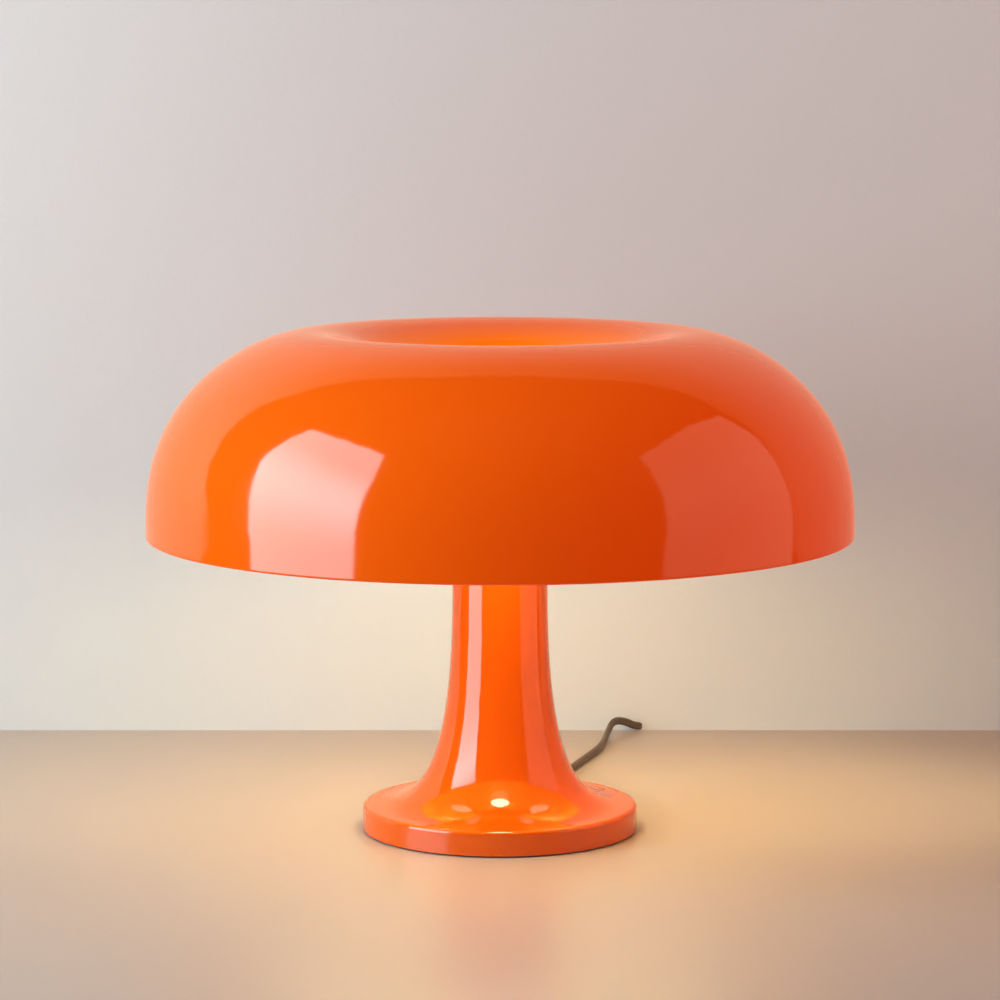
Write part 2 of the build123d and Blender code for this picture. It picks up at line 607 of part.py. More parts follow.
CAP_SKIRT_RADIUS = SPIGOT_RADIUS - SPIGOT_WALL - CAP_CLEARANCE
CAP_BRIM = SEAT_TOP + SPIGOT_HEIGHT + CAP_GAP
with BuildPart() as seat_cap:
    with BuildSketch(Plane.XZ):
        with BuildLine():
            Line((0, CAP_BRIM + CAP_RISE - CAP_WALL), (0, CAP_BRIM + CAP_RISE))
            TangentArc((0, CAP_BRIM + CAP_RISE), (SPIGOT_RADIUS, CAP_BRIM), tangent=(1, 0))
            Polyline(
                (SPIGOT_RADIUS, CAP_BRIM),
                (CAP_SKIRT_RADIUS, CAP_BRIM),
                (CAP_SKIRT_RADIUS, CAP_BRIM - CAP_SKIRT),
                (CAP_SKIRT_RADIUS - CAP_WALL, CAP_BRIM - CAP_SKIRT),
                (CAP_SKIRT_RADIUS - CAP_WALL, CAP_BRIM),
            )
            TangentArc(
                (0, CAP_BRIM + CAP_RISE - CAP_WALL),
                (CAP_SKIRT_RADIUS - CAP_WALL, CAP_BRIM),
                tangent=(1, 0),
            )
        make_face()
    revolve()
seat_cap.part.label = "seat_cap"
export_step(seat_cap.part, "parts/seat_cap.step")

# ---- lampholders on hollow nipples, their nuts inside the carrier, and the bulbs ----
HOLDER_START = CARRIER_SIZE / 2
HOLDER_END = HOLDER_START + HOLDER_LENGTH
BORE_RADIUS = BULB_CAP_RADIUS + BULB_CAP_CLEARANCE
NUT_FACE = HOLDER_START - CARRIER_WALL
BULB_START = HOLDER_END - HOLDER_BORE_DEPTH + BULB_CAP_CLEARANCE
BULB_END = BULB_START + BULB_LENGTH
GLASS_START = BULB_START + BULB_CAP_LENGTH
GLOBE_CENTRE = BULB_END - BULB_RADIUS
NECK_END = GLOBE_CENTRE - (BULB_RADIUS**2 - BULB_NECK_RADIUS**2) ** 0.5
INNER_RADIUS = BULB_RADIUS - BULB_WALL
INNER_NECK_END = GLOBE_CENTRE - (INNER_RADIUS**2 - (BULB_NECK_RADIUS - BULB_WALL) ** 2) ** 0.5
for index, angle in enumerate(holder_angles):
    with BuildPart() as lampholder:
        with BuildSketch(upright_plane(angle, HOLDER_HEIGHT)) as section:
            with BuildLine():
                Polyline(
                    (NUT_FACE - NIPPLE_REACH, NIPPLE_BORE),
                    (NUT_FACE - NIPPLE_REACH, NIPPLE_RADIUS),
                    (HOLDER_START, NIPPLE_RADIUS),
                    (HOLDER_START, HOLDER_RADIUS - HOLDER_STEP),
                    (HOLDER_START + HOLDER_SHOULDER, HOLDER_RADIUS - HOLDER_STEP),
                    (HOLDER_START + HOLDER_SHOULDER + HOLDER_STEP, HOLDER_RADIUS),
                    (HOLDER_END - HOLDER_COLLAR_LENGTH, HOLDER_RADIUS),
                    (HOLDER_END - HOLDER_COLLAR_LENGTH, HOLDER_COLLAR_RADIUS),
                    (HOLDER_END - HOLDER_EDGE, HOLDER_COLLAR_RADIUS),
                    (HOLDER_END, HOLDER_COLLAR_RADIUS - HOLDER_EDGE),
                    (HOLDER_END, BORE_RADIUS),
                    (HOLDER_END - HOLDER_BORE_DEPTH, BORE_RADIUS),
                    (HOLDER_END - HOLDER_BORE_DEPTH, NIPPLE_BORE),
                    close=True,
                )
            make_face()
        revolve(axis=Axis((0, 0, HOLDER_HEIGHT), direction(angle)))
    lampholder.part.label = f"lampholder_{index + 1}"
    export_step(lampholder.part, f"parts/lampholder_{index + 1}.step")

    with BuildPart() as bulb_cap:
        with BuildSketch(upright_plane(angle, HOLDER_HEIGHT)):
            with BuildLine():
                Polyline(
                    (BULB_START, 0),
                    (BULB_START, BULB_TIP_RADIUS),
                    (BULB_START + BULB_TIP, BULB_TIP_RADIUS),
                    (BULB_START + 2 * BULB_TIP, BULB_CAP_RADIUS),
                    (GLASS_START, BULB_CAP_RADIUS),
                    (GLASS_START, 0),
                    close=True,
                )
            make_face()
        revolve(axis=Axis((0, 0, HOLDER_HEIGHT), direction(angle)))
    bulb_cap.part.label = f"bulb_cap_{index + 1}"
    export_step(bulb_cap.part, f"parts/bulb_cap_{index + 1}.step")

    with BuildPart() as bulb_glass:
        with BuildSketch(upright_plane(angle, HOLDER_HEIGHT)):
            with BuildLine():
                Line((GLASS_START, BULB_CAP_RADIUS - BULB_WALL), (GLASS_START, BULB_CAP_RADIUS))
                Line((GLASS_START, BULB_CAP_RADIUS), (NECK_END, BULB_NECK_RADIUS))
                ThreePointArc(
                    (NECK_END, BULB_NECK_RADIUS), (GLOBE_CENTRE, BULB_RADIUS), (BULB_END, 0)
                )
                Line((BULB_END, 0), (BULB_END - BULB_WALL, 0))
                ThreePointArc(
                    (BULB_END - BULB_WALL, 0),
                    (GLOBE_CENTRE, INNER_RADIUS),
                    (INNER_NECK_END, BULB_NECK_RADIUS - BULB_WALL),
                )
                Line(
                    (INNER_NECK_END, BULB_NECK_RADIUS - BULB_WALL),
                    (GLASS_START, BULB_CAP_RADIUS - BULB_WALL),
                )
            make_face()
        revolve(axis=Axis((0, 0, HOLDER_HEIGHT), direction(angle)))
    bulb_glass.part.label = f"bulb_glass_{index + 1}"
    export_step(bulb_glass.part, f"parts/bulb_glass_{index + 1}.step")

with BuildPart() as nipple_nuts:
    for angle in holder_angles:
        with BuildSketch(facing_plane(angle, NUT_FACE, HOLDER_HEIGHT)):
            RegularPolygon(NIPPLE_NUT_RADIUS, 6)
            Circle(NIPPLE_RADIUS + SCREW_CLEARANCE, mode=Mode.SUBTRACT)
        extrude(amount=-NIPPLE_NUT_THICKNESS)
nipple_nuts.part.label = "nipple_nuts"
export_step(nipple_nuts.part, "parts/nipple_nuts.step")

# ---- wiring in the foot: terminal block, its screws, cord clamp, leads and splice ----
terminal_plane = level_plane(CORD_ANGLE, TERMINAL_RADIUS, BALLAST_TOP)
terminal_top = terminal_plane.offset(TERMINAL_HEIGHT)
TERMINAL_SPOTS = [(0, TERMINAL_SCREW_OFFSET), (0, -TERMINAL_SCREW_OFFSET)]
with BuildPart() as terminal_block:
    with BuildSketch(terminal_plane):
        RectangleRounded(TERMINAL_LENGTH, TERMINAL_WIDTH, TERMINAL_ROUND)
    extrude(amount=TERMINAL_HEIGHT)
    with BuildSketch(terminal_top):
        with Locations(TERMINAL_SPOTS):
            Circle(TERMINAL_SCREW_RADIUS + SCREW_CLEARANCE)
    extrude(amount=-TERMINAL_SCREW_DEPTH, mode=Mode.SUBTRACT)
terminal_block.part.label = "terminal_block"
export_step(terminal_block.part, "parts/terminal_block.step")

with BuildPart() as terminal_screws:
    with BuildSketch(terminal_top.offset(-TERMINAL_SCREW_DEPTH)):
        with Locations(TERMINAL_SPOTS):
            Circle(TERMINAL_SCREW_RADIUS)
    extrude(amount=TERMINAL_SCREW_HEIGHT)
    with BuildSketch(terminal_top.offset(TERMINAL_SCREW_HEIGHT - TERMINAL_SCREW_DEPTH)):
        with Locations(TERMINAL_SPOTS):
            Rectangle(TERMINAL_SCREW_RADIUS / 3, TERMINAL_SCREW_RADIUS * 2)
    extrude(amount=-TERMINAL_SCREW_HEIGHT / 2, mode=Mode.SUBTRACT)
terminal_screws.part.label = "terminal_screws"
export_step(terminal_screws.part, "parts/terminal_screws.step")

clamp_plane = level_plane(CORD_ANGLE, CLAMP_RADIUS, BALLAST_TOP)
CLAMP_SPOTS = [(0, CLAMP_SCREW_OFFSET), (0, -CLAMP_SCREW_OFFSET)]
with BuildPart() as cord_clamp:
    with BuildSketch(clamp_plane):
        SlotOverall(CLAMP_WIDTH, CLAMP_LENGTH, rotation=90)
        with Locations(CLAMP_SPOTS):
            Circle(CLAMP_SCREW_RADIUS + SCREW_CLEARANCE, mode=Mode.SUBTRACT)
    extrude(amount=CLAMP_THICKNESS)
    with BuildSketch(clamp_plane):
        Rectangle(CLAMP_LENGTH, CLAMP_TONGUE_WIDTH)
    extrude(amount=CORD_EXIT_HEIGHT + LEAD_RADIUS + CLAMP_GAP - BALLAST_TOP)
cord_clamp.part.label = "cord_clamp"
export_step(cord_clamp.part, "parts/cord_clamp.step")

with BuildPart() as clamp_screws:
    with BuildSketch(clamp_plane.offset(CLAMP_THICKNESS)):
        with Locations(CLAMP_SPOTS):
            Circle(CLAMP_SCREW_HEAD_RADIUS)
    extrude(amount=CLAMP_SCREW_HEAD)
    with BuildSketch(clamp_plane.offset(CLAMP_THICKNESS)):
        with Locations(CLAMP_SPOTS):
            Circle(CLAMP_SCREW_RADIUS)
    extrude(amount=-CLAMP_SCREW_LENGTH)
clamp_screws.part.label = "clamp_screws"
export_step(clamp_screws.part, "parts/clamp_screws.step")

# ---- moulded strain relief, gripped by the foot's wall ----
RELIEF_INNER = BASE_INNER_RADIUS - RELIEF_CLEARANCE - RELIEF_FLANGE
RELIEF_OUTER = BASE_RADIUS + RELIEF_CLEARANCE
RELIEF_END = RELIEF_OUTER + RELIEF_LENGTH
relief_axis = Axis((0, 0, CORD_EXIT_HEIGHT), direction(CORD_ANGLE))
groove_pitch = (RELIEF_LENGTH - 2 * RELIEF_COLLAR) / RELIEF_GROOVES
relief_taper = (RELIEF_ROOT_RADIUS - RELIEF_TIP_RADIUS) / RELIEF_LENGTH
relief_outline = [
    (RELIEF_INNER, 0),
    (RELIEF_INNER, RELIEF_FLANGE_RADIUS),
    (RELIEF_INNER + RELIEF_FLANGE, RELIEF_FLANGE_RADIUS),
    (RELIEF_INNER + RELIEF_FLANGE, RELIEF_NECK_RADIUS),
    (RELIEF_OUTER, RELIEF_NECK_RADIUS),
    (RELIEF_OUTER, RELIEF_ROOT_RADIUS),
]
for index in range(RELIEF_GROOVES):
    near = RELIEF_OUTER + RELIEF_COLLAR + groove_pitch * index
    far = near + RELIEF_GROOVE_WIDTH
    for place, depth in ((near, 0), (near, 1), (far, 1), (far, 0)):
        radius = RELIEF_ROOT_RADIUS - relief_taper * (place - RELIEF_OUTER)
        relief_outline.append((place, radius - depth * RELIEF_GROOVE_DEPTH))
relief_outline += [(RELIEF_END, RELIEF_TIP_RADIUS), (RELIEF_END, 0)]
with BuildPart() as strain_relief:
    with BuildSketch(upright_plane(CORD_ANGLE, CORD_EXIT_HEIGHT)):
        with BuildLine():
            Polyline(*relief_outline, close=True)
        make_face()
    revolve(axis=relief_axis)
strain_relief.part.label = "strain_relief"
export_step(strain_relief.part, "parts/strain_relief.step")


# ---- leads inside the lamp ----
def along_cord(distance, height):
    """A point above the ray along which the cord leaves the foot."""
    return direction(CORD_ANGLE) * distance + Vector(0, 0, height)


TERMINAL_MIDDLE = BALLAST_TOP + TERMINAL_HEIGHT / 2
TERMINAL_TOP = BALLAST_TOP + TERMINAL_HEIGHT
RISER_TOP = STEM_TOP + RISER_REACH
inner_route = [
    along_cord(RELIEF_INNER, CORD_EXIT_HEIGHT),
    along_cord(CLAMP_RADIUS - CLAMP_LENGTH / 2 - LEAD_ENTRY, CORD_EXIT_HEIGHT),
    along_cord(TERMINAL_END + LEAD_ENTRY, TERMINAL_MIDDLE),
    along_cord(TERMINAL_END, TERMINAL_MIDDLE),
]
riser_route = [
    along_cord(TERMINAL_RADIUS, TERMINAL_TOP),
    along_cord(TERMINAL_RADIUS, TERMINAL_TOP + RISER_LOOP),
    riser_spot + Vector(0, 0, FLARE_PULL_HEIGHT),
    riser_spot + Vector(0, 0, RISER_TOP),
]
for name, route in (("inner_lead", inner_route), ("riser_lead", riser_route)):
    with BuildPart() as lead:
        with BuildLine() as path:
            FilletPolyline(*route, radius=arc_radii(route))
        with BuildSketch(Plane(route[0], z_dir=route[1] - route[0])):
            Circle(LEAD_RADIUS)
        sweep()
    lead.part.label = name
    export_step(lead.part, f"parts/{name}.step")

with BuildPart() as lead_splice:
    with BuildSketch(Plane.XY.offset(RISER_TOP)):
        with Locations(riser_spot):
            RectangleRounded(SPLICE_SIZE, SPLICE_SIZE, SPLICE_ROUND)
    extrude(amount=SPLICE_HEIGHT)
lead_splice.part.label = "lead_splice"
export_step(lead_splice.part, "parts/lead_splice.step")

# ---- mains cord: free stretch, put-away coil, tie and plug ----
COIL_FLOOR = TIE_THICKNESS + TIE_CLEARANCE + CORD_RADIUS
COIL_SWING = COIL_PITCH * COIL_TURNS / 2
coil_centre = Vector(*COIL_CENTRE)
coil_end = COIL_TURNS * COIL_LAYERS


def coil_place(turn):
    """The coil's centreline: in and out at a steady rate, up a layer where it reverses."""
    phase = turn / COIL_TURNS
    fold = abs(phase - 2 * round(phase / 2))
    radius = COIL_MEAN_RADIUS + COIL_SWING * (1 - 2 * fold)
    height = COIL_FLOOR
    for layer in range(1, COIL_LAYERS):
        climb = min(max(2 * (turn - layer * COIL_TURNS) + 0.5, 0), 1)
        height += COIL_PITCH * climb * climb * (3 - 2 * climb)
    return coil_centre + direction(turn * 360 - 90) * radius + Vector(0, 0, height)


def coil_way(turn):
    """The direction in which the coil's centreline runs."""
    return (coil_place(turn + 0.001) - coil_place(turn - 0.001)).normalized()


coil_start = coil_place(0) - coil_way(0) * CORD_WIDTH
stretch_route = [
    along_cord(RELIEF_END, CORD_EXIT_HEIGHT),
    along_cord(RELIEF_END + CORD_LEAD, CORD_EXIT_HEIGHT),
    Vector(32.4, 113.5, 2.2),
    Vector(40.9, 143.0, 2.2),
    Vector(50.6, 174.0, 2.2),
    Vector(54.2, 198.5, 2.3),
    Vector(56.2, 212.0, 4.0),
    Vector(59.2, 222.0, 7.4),
    Vector(66.2, 229.2, 6.4),
    Vector(73.6, 232.0, 2.4),
    Vector(83.0, 236.6, 2.1),
    coil_start - coil_way(0) * CORD_LEAD,
    coil_start,
]
stretch_radii = arc_radii(stretch_route)
with BuildPart() as cord_stretch:
    with BuildLine() as stretch_path:
        FilletPolyline(*stretch_route, radius=stretch_radii)
    with BuildSketch(Plane(stretch_route[0], z_dir=direction(CORD_ANGLE))):
        Circle(CORD_RADIUS)
    sweep()
cord_stretch.part.label = "cord_stretch"
export_step(cord_stretch.part, "parts/cord_stretch.step")

PLUG_AXIS_HEIGHT = PLUG_HEIGHT / 2
tail_way = coil_way(coil_end)
tail_start = coil_place(coil_end)
tail_drop = Vector(0, 0, PLUG_AXIS_HEIGHT - tail_start.Z)
tail_route = [
    tail_start,
    tail_start + tail_way * TAIL_RUNS[0],
    tail_start + tail_way * (TAIL_RUNS[0] + TAIL_RUNS[1]) + tail_drop,
    tail_start + tail_way * sum(TAIL_RUNS) + tail_drop,
]
coil_joints = [i / 4 for i in range(int(coil_end * 4) + 1)]
with BuildPart() as cord_coil:
    with BuildLine() as coil_path:
        Line(coil_start, coil_place(0))
        for near, far in zip(coil_joints, coil_joints[1:]):
            joint, joint_way = biarc(coil_place(near), coil_way(near), coil_place(far), coil_way(far))
            TangentArc(coil_place(near), joint, tangent=coil_way(near))
            TangentArc(joint, coil_place(far), tangent=joint_way)
        FilletPolyline(*tail_route, radius=arc_radii(tail_route))
    with BuildSketch(Plane(coil_start, z_dir=coil_way(0))):
        Circle(CORD_RADIUS)
    sweep()
cord_coil.part.label = "cord_coil"
export_step(cord_coil.part, "parts/cord_coil.step")

TIE_REACH = COIL_SWING + CORD_RADIUS + TIE_CLEARANCE
TIE_RISE = (COIL_PITCH * (COIL_LAYERS - 1)) / 2 + CORD_RADIUS + TIE_CLEARANCE
with BuildPart() as cord_tie:
    middle = coil_centre + Vector(COIL_MEAN_RADIUS, 0, TIE_THICKNESS + TIE_RISE)
    with BuildSketch(Plane(middle, x_dir=(1, 0, 0), z_dir=(0, -1, 0))):
        RectangleRounded(
            2 * (TIE_REACH + TIE_THICKNESS), 2 * (TIE_RISE + TIE_THICKNESS), TIE_ROUND
        )
        RectangleRounded(
            2 * TIE_REACH, 2 * TIE_RISE, TIE_ROUND - TIE_THICKNESS, mode=Mode.SUBTRACT
        )
    extrude(amount=TIE_WIDTH / 2, both=True)
cord_tie.part.label = "cord_tie"
export_step(cord_tie.part, "parts/cord_tie.step")

plug_start = tail_route[-1]
plug_plane = Plane(plug_start, x_dir=(0, 1, 0), z_dir=tail_way)
plug_face = plug_plane.offset(PLUG_LENGTH)
with BuildPart() as plug_body:
    with BuildSketch(plug_plane):
        Circle(PLUG_NECK_RADIUS)
    with BuildSketch(plug_plane.offset(PLUG_WAIST)):
        RectangleRounded(PLUG_WAIST_WIDTH, PLUG_HEIGHT, PLUG_FLATS)
    with BuildSketch(plug_face):
        RectangleRounded(PLUG_WIDTH, PLUG_HEIGHT, PLUG_FLATS)
    loft(ruled=True)
    with BuildSketch(plug_face):
        with Locations((PIN_SPACING / 2, 0), (-PIN_SPACING / 2, 0)):
            Circle(PIN_RADIUS)
    extrude(amount=-PIN_ROOT, mode=Mode.SUBTRACT)
plug_body.part.label = "plug_body"
export_step(plug_body.part, "parts/plug_body.step")

with BuildPart() as plug_pins:
    with BuildSketch(plug_face.offset(-PIN_ROOT)):
        with Locations((PIN_SPACING / 2, 0), (-PIN_SPACING / 2, 0)):
            Circle(PIN_RADIUS)
    extrude(amount=PIN_ROOT + PIN_LENGTH)
    fillet(plug_pins.edges().filter_by(GeomType.CIRCLE).group_by(Axis.X)[0], PIN_RADIUS / 2)
plug_pins.part.label = "plug_pins"
export_step(plug_pins.part, "parts/plug_pins.step")

# ---- what the cord's shape comes to ----
section_area = pi * CORD_RADIUS**2
for piece, path in ((cord_stretch, stretch_path), (cord_coil, coil_path)):
    length = path.wire().length
    print(f"{piece.part.label}: {length:.1f} mm, volume {piece.part.volume / section_area / length:.4f}")
print("radii of the free stretch:", [round(radius, 1) for radius in stretch_radii])
coil_points = [coil_place(i / 48) for i in range(int(coil_end * 48) + 1)]
least_gap = min(
    (coil_points[i] - coil_points[j]).length - CORD_WIDTH
    for i in range(len(coil_points))
    for j in range(i + 24, len(coil_points))
)
print(f"least gap between the coil's turns: {least_gap:.2f} mm")
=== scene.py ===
import json
from math import cos, radians, sin

import bmesh
import bpy
from mathutils import Matrix, Vector


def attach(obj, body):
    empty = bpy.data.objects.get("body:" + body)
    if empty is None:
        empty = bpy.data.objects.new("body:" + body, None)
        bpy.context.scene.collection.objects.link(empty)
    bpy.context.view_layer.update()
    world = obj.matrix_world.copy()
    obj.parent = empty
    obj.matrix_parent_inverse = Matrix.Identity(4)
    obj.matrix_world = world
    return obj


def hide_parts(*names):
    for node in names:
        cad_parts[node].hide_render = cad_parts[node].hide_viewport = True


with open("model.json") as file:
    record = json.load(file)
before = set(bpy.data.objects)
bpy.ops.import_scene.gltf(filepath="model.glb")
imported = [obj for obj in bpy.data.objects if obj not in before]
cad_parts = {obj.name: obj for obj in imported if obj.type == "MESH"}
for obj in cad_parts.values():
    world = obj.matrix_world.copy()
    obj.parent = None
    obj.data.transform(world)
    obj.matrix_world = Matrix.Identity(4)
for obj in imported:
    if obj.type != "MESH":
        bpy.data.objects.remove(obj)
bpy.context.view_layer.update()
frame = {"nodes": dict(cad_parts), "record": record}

NODES = frame["nodes"]
MM = 0.001
FULL_TURN = radians(360)
UP = Vector((0, 0, 1))
scene = bpy.context.scene
scene.view_settings.view_transform = "Standard"

# ---- camera: the photographed angle and framing ----
CAMERA_PLACE = (0.0, -1.55795, 0.34707)
CAMERA_PITCH = 7.1664
CAMERA_LENS = 124.82
camera_data = bpy.data.cameras.new("camera")
camera_data.lens = CAMERA_LENS
camera = bpy.data.objects.new("camera", camera_data)
camera.location = CAMERA_PLACE
camera.rotation_euler = (radians(90 - CAMERA_PITCH), 0, 0)
scene.collection.objects.link(camera)
scene.camera = camera


# ---- helpers for pieces ----
SMOOTH_ANGLE = radians(35)


def piece(name, mesh_source, body=None):
    """An object of a bmesh at the origin, smooth but for its sharp edges; it rides on a body."""
    mesh = bpy.data.meshes.new(name)
    mesh_source.to_mesh(mesh)
    mesh_source.free()
    mesh.shade_smooth()
    mesh.set_sharp_from_angle(angle=SMOOTH_ANGLE)
    thing = bpy.data.objects.new(name, mesh)
    scene.collection.objects.link(thing)
    if body:
        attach(thing, body)
    return thing


def paint(thing, finish):
    """Gives an object one finish, in place of what it had."""
    thing.data.materials.clear()
    thing.data.materials.append(finish)


# ---- helpers for materials ----
def linear(hex_colour):
    """An sRGB hex colour as the linear colour that a node takes."""
    channels = [int(hex_colour[place:place + 2], 16) / 255 for place in (0, 2, 4)]
    return [c / 12.92 if c <= 0.04045 else ((c + 0.055) / 1.055) ** 2.4 for c in channels] + [1.0]


def add_node(tree, kind, settings=None, inputs=None):
    """Adds a node with its settings, and a value or a link for each of its inputs."""
    node = tree.nodes.new("ShaderNode" + kind)
    for name, value in (settings or {}).items():
        setattr(node, name, value)
    for name, value in (inputs or {}).items():
        if isinstance(value, bpy.types.NodeSocket):
            tree.links.new(value, node.inputs[name])
        else:
            node.inputs[name].default_value = value
    return node


def new_finish(name):
    """An empty material and its node tree."""
    finish = bpy.data.materials.new(name)
    finish.use_nodes = True
    finish.node_tree.nodes.clear()
    return finish, finish.node_tree


def grain(tree, size, detail=2.0, stretch=(1, 1, 1)):
    """Noise on object coordinates whose patches are about the given size in metres."""
    place = add_node(tree, "TexCoord").outputs["Object"]
    mapped = add_node(tree, "Mapping", inputs={"Vector": place, "Scale": stretch})
    return add_node(
        tree, "TexNoise",
        inputs={"Vector": mapped.outputs[0], "Scale": 1 / size, "Detail": detail},
    ).outputs[0]


def between(tree, factor, low, high):
    """A factor from 0 to 1, spread over a range of values."""
    return add_node(
        tree, "MapRange", inputs={"Value": factor, "To Min": low, "To Max": high}
    ).outputs[0]


def blend_colours(tree, factor, first, second):
    """A colour between two."""
    mix = add_node(tree, "Mix", {"data_type": "RGBA"})
    for socket, value in ((0, factor), (6, first), (7, second)):
        if isinstance(value, bpy.types.NodeSocket):
            tree.links.new(value, mix.inputs[socket])
        else:
            mix.inputs[socket].default_value = value
    return mix.outputs[2]


def blend_numbers(tree, factor, first, second):
    """A number between two."""
    return add_node(tree, "Mix", inputs={"Factor": factor, "A": first, "B": second}).outputs[0]


def relief(tree, height, depth):
    """A bump of the given depth in metres, from a height of 0 to 1."""
    return add_node(
        tree, "Bump", inputs={"Height": height, "Distance": depth, "Strength": 1.0}
    ).outputs[0]


def surface(tree, inputs):
    """The principled shader and the output that end a material."""
    shader = add_node(tree, "BsdfPrincipled", inputs=inputs)
    add_node(tree, "OutputMaterial", inputs={"Surface": shader.outputs[0]})
    return shader


# ---- finishes ----
# Gloss ABS, injection moulded in a polished mould: a deep wet shine over an even orange, with the
# faint waves that a thin moulding keeps and a very fine skin. Sizes and depths are in metres.
ABS_IOR = 1.53
WAVE_SIZE = 0.030
WAVE_DEPTH = 0.00002
SKIN_SIZE = 0.0016
SHADE_SKIN_DEPTH = 0.0000015
FOOT_SKIN_DEPTH = 0.0000003
TONE_SIZE = 0.05
TONE_REACH = 0.12
DEEPER_TONE = 0.86
SHADE_ORANGE = linear("B05204")
FOOT_ORANGE = linear("C04D04")
# The shade's inner side is a paler, yellower orange than its outer side: painted light of the lit
# bulbs on the same plastic.
LIT_INSIDE_ORANGE = linear("EAC052")
# A ring in the middle of the shade's hollow, which tells its inner side from its outer one.
HOLLOW_RING_RADIUS = 0.100
HOLLOW_RING_HEIGHT = 0.165


def outer_side(tree):
    """1 on the side of the shade that faces away from the ring in the middle of its hollow."""
    coordinates = add_node(tree, "TexCoord")
    place = coordinates.outputs["Object"]
    level = add_node(tree, "VectorMath", {"operation": "MULTIPLY"}, {0: place, 1: (1, 1, 0)})
    outward = add_node(tree, "VectorMath", {"operation": "NORMALIZE"}, {0: level.outputs[0]})
    ring = add_node(
        tree, "VectorMath", {"operation": "MULTIPLY_ADD"},
        {0: outward.outputs[0], 1: (HOLLOW_RING_RADIUS,) * 3, 2: (0, 0, HOLLOW_RING_HEIGHT)},
    )
    away = add_node(tree, "VectorMath", {"operation": "SUBTRACT"}, {0: place, 1: ring.outputs[0]})
    facing = add_node(
        tree, "VectorMath", {"operation": "DOT_PRODUCT"},
        {0: away.outputs[0], 1: coordinates.outputs["Normal"]},
    )
    return add_node(
        tree, "Math", {"operation": "GREATER_THAN"}, {0: facing.outputs["Value"], 1: 0.0}
    ).outputs[0]


def fade(tree, value, full, none):
    """1 where a value is at full or past it, 0 at none, and a smooth change between."""
    return add_node(
        tree, "MapRange", {"interpolation_type": "SMOOTHSTEP"},
        {"Value": value, "From Min": none, "From Max": full},
    ).outputs[0]


# Light from the lit bulbs that comes through the wall as deep red-orange, and strongest down in
# the funnel, where the wall is nearest to them.
WALL_GLOW = (0.30, 0.003, 0.0, 1.0)
FUNNEL_GLOW = (0.64, 0.145, 0.0, 1.0)
CAP_GLOW = (0.30, 0.055, 0.0, 1.0)
FUNNEL_GLOW_RADIUS = 0.044
FUNNEL_RADIUS = 0.072


def light_through(tree, outside):
    """The colour of the light that comes out of the shade's outer side."""
    place = add_node(tree, "TexCoord").outputs["Object"]
    level = add_node(tree, "VectorMath", {"operation": "MULTIPLY"}, {0: place, 1: (1, 1, 0)})
    radius = add_node(tree, "VectorMath", {"operation": "LENGTH"}, {0: level.outputs[0]})
    deep = fade(tree, radius.outputs["Value"], FUNNEL_GLOW_RADIUS, FUNNEL_RADIUS)
    glow = blend_colours(tree, deep, WALL_GLOW, FUNNEL_GLOW)
    return blend_colours(tree, outside, (0, 0, 0, 1), glow)


# The push switch's button fills its hole but for a narrow gap. The gap's shade is painted into
# the foot's colour as a dark, rough ring, drawn wider than the gap is, so that it shows.
BUTTON_PLACE = (0.04218, 0.02590)
GAP_SHADE_RADII = (0.0056, 0.0063, 0.0070)
GAP_SHADE_COLOUR = linear("1A0804")
GAP_ROUGHNESS = 0.9


def painted_shade_round_button(tree):
    """1 in the gap round the push switch's button, where its painted shade goes, and 0 elsewhere.
    """
    place = add_node(tree, "TexCoord").outputs["Object"]
    from_axis = add_node(
        tree, "VectorMath", {"operation": "SUBTRACT"}, {0: place, 1: (*BUTTON_PLACE, 0)}
    )
    level = add_node(
        tree, "VectorMath", {"operation": "MULTIPLY"}, {0: from_axis.outputs[0], 1: (1, 1, 0)}
    )
    radius = add_node(tree, "VectorMath", {"operation": "LENGTH"}, {0: level.outputs[0]})
    inner, middle, outer = GAP_SHADE_RADII
    within = fade(tree, radius.outputs["Value"], middle, outer)
    beyond = fade(tree, radius.outputs["Value"], middle, inner)
    return add_node(
        tree, "Math", {"operation": "MULTIPLY"}, {0: within, 1: beyond}
    ).outputs[0]


def gloss_abs(
    name, colour, roughness=0.07, skin_depth=SHADE_SKIN_DEPTH, lit_hollow=False,
    even_glow=None, painted_button_gap_shade=False,
):
    """Moulded gloss plastic, with what the shade, its cap or the foot has besides."""
    finish, tree = new_finish(name)
    waves = grain(tree, WAVE_SIZE, 1.0)
    peel = grain(tree, SKIN_SIZE, 2.0)
    swell = relief(tree, waves, WAVE_DEPTH)
    skin = add_node(
        tree, "Bump",
        inputs={"Height": peel, "Distance": skin_depth, "Strength": 1.0, "Normal": swell},
    ).outputs[0]
    tone = grain(tree, TONE_SIZE, 2.0)
    deeper = [c * DEEPER_TONE for c in colour[:3]] + [1]
    body = blend_colours(tree, between(tree, tone, 0.0, TONE_REACH), colour, deeper)
    shine = between(tree, peel, roughness * 0.8, roughness * 1.25)
    inputs = {"IOR": ABS_IOR, "Normal": skin}
    if lit_hollow:
        outside = outer_side(tree)
        # The inner side takes the paler orange of painted bulb light.
        body = blend_colours(tree, outside, LIT_INSIDE_ORANGE, body)
        inputs["Emission Color"] = light_through(tree, outside)
        inputs["Emission Strength"] = 1.0
    if even_glow:
        inputs["Emission Color"] = even_glow
        inputs["Emission Strength"] = 1.0
    # Painted shade: a dark ring in the gap round the button.
    if painted_button_gap_shade:
        gap = painted_shade_round_button(tree)
        body = blend_colours(tree, gap, body, GAP_SHADE_COLOUR)
        shine = blend_numbers(tree, gap, shine, GAP_ROUGHNESS)
    inputs["Base Color"] = body
    inputs["Roughness"] = shine
    surface(tree, inputs)
    return finish


